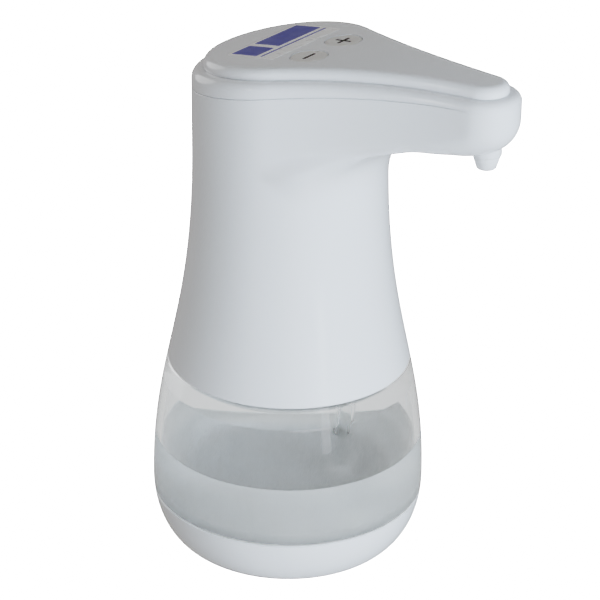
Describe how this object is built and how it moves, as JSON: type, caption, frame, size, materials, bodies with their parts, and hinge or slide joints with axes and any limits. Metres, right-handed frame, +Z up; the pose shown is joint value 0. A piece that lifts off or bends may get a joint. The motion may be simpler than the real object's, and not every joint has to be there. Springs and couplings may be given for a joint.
{
  "type": "countertop touchless soap dispenser",
  "caption": "Free-standing battery soap dispenser: clear bottle in a white foot, bell-shaped pump head with a spout arm, nozzle, sensor and two volume buttons.",
  "frame": {"origin": "centre of the flat face that it stands on, on the axis of the round body", "axes": "+Z up along the body's axis, -Y towards the spout, +X towards the + button's side"},
  "size_m": [0.0962, 0.1383, 0.1938],
  "materials": {
    "white_plastic": "smooth gloss, injection moulded",
    "cover_plastic": "smooth satin gloss",
    "button_plastic": "smooth satin gloss with a printed mark",
    "clear_plastic": "clear, polished",
    "tube_plastic": "clear extruded tube",
    "silicone": "translucent soft moulding",
    "grey_rubber": "matt moulded rubber",
    "inner_plastic": "plain moulded, fine grain",
    "gear_plastic": "self-lubricating moulding",
    "black_plastic": "dark moulded",
    "label_film": "printed film with plain coloured blocks",
    "steel": "zinc-plated",
    "nickel": "nickel-plated strip",
    "brass": "stamped",
    "copper": "wound copper and laminations",
    "magnet": "sintered ferrite",
    "battery_jacket": "plain printed jacket",
    "board_green": "glass-epoxy board with solder mask",
    "led_blue": "tinted lens",
    "wire_red": "insulated lead"
  },
  "bodies": {
    "root": {"foot_cup": "white_plastic", "anti_slip_pad": "grey_rubber", "bottle": "clear_plastic"},
    "seal": {"neck_seal": "silicone"},
    "head": {"body_shell": "white_plastic", "trim_band": "white_plastic", "top_cover": "cover_plastic", "top_label": "label_film", "cover_screws": "steel", "deck_plate": "inner_plastic", "deck_screws": "steel", "battery_box": "inner_plastic", "batteries": "battery_jacket", "battery_contacts": "nickel", "battery_gasket": "grey_rubber", "gear_plate": "inner_plastic", "motor_can": "steel", "motor_end_cap": "black_plastic", "motor_magnets": "magnet", "motor_terminals": "brass", "pump_housing": "inner_plastic", "pump_lid": "inner_plastic", "pump_screws": "steel", "pump_tube": "silicone", "feed_tube": "silicone", "delivery_tube": "silicone", "suction_tube": "tube_plastic", "strainer": "inner_plastic", "nozzle_tip": "white_plastic", "nozzle_valve": "silicone", "sensor_window": "black_plastic", "sensor_board": "board_green", "ir_leds": "led_blue", "control_board": "board_green", "tact_switches": "black_plastic", "board_components": "black_plastic", "wire_leads": "wire_red"},
    "door": {"battery_door": "inner_plastic", "door_contacts": "nickel", "door_screw": "steel"},
    "plus_button": {"plus_button": "button_plastic"},
    "minus_button": {"minus_button": "button_plastic"},
    "rotor": {"pump_gear": "gear_plastic", "pump_rotor": "gear_plastic"},
    "motor": {"motor_shaft": "steel", "motor_armature": "copper", "motor_pinion": "gear_plastic"},
    "roller_1": {"roller_1": "gear_plastic"},
    "roller_2": {"roller_2": "gear_plastic"},
    "roller_3": {"roller_3": "gear_plastic"}
  },
  "joints": [
    {"name": "head_lift", "type": "slide", "parent": "root", "child": "seal", "axis": [0, 0, 1], "range_m": [0, 0.09]},
    {"name": "head_turn", "type": "hinge", "parent": "seal", "child": "head", "pos_m": [0, 0, 0.0863], "axis": [0, 0, 1], "range_deg": [0, 90]},
    {"name": "door_slide", "type": "slide", "parent": "head", "child": "door", "axis": [0, 0, -1], "range_m": [0, 0.025]},
    {"name": "plus_press", "type": "slide", "parent": "head", "child": "plus_button", "axis": [0, -0.1324, -0.9912], "range_m": [0, 0.0006], "stiffness_N_per_m": 800, "springref_m": -0.0004},
    {"name": "minus_press", "type": "slide", "parent": "head", "child": "minus_button", "axis": [0, -0.1324, -0.9912], "range_m": [0, 0.0006], "stiffness_N_per_m": 800, "springref_m": -0.0004},
    {"name": "pump_turn", "type": "hinge", "parent": "head", "child": "rotor", "pos_m": [0, 0.002, 0.1645], "axis": [0, 0, 1], "continuous": true},
    {"name": "motor_turn", "type": "hinge", "parent": "head", "child": "motor", "pos_m": [-0.0095, -0.01329, 0.1545], "axis": [0, 0, 1], "continuous": true},
    {"name": "roller_1_turn", "type": "hinge", "parent": "rotor", "child": "roller_1", "pos_m": [0, 0.0099, 0.1644], "axis": [0, 0, 1], "continuous": true},
    {"name": "roller_2_turn", "type": "hinge", "parent": "rotor", "child": "roller_2", "pos_m": [-0.00684, -0.00195, 0.1644], "axis": [0, 0, 1], "continuous": true},
    {"name": "roller_3_turn", "type": "hinge", "parent": "rotor", "child": "roller_3", "pos_m": [0.00684, -0.00195, 0.1644], "axis": [0, 0, 1], "continuous": true}
  ],
  "couplings": [
    {"joint": "motor_turn", "follows": "pump_turn", "ratio": -4},
    {"joint": "roller_1_turn", "follows": "pump_turn", "ratio": -3.1944},
    {"joint": "roller_2_turn", "follows": "pump_turn", "ratio": -3.1944},
    {"joint": "roller_3_turn", "follows": "pump_turn", "ratio": -3.1944}
  ]
}
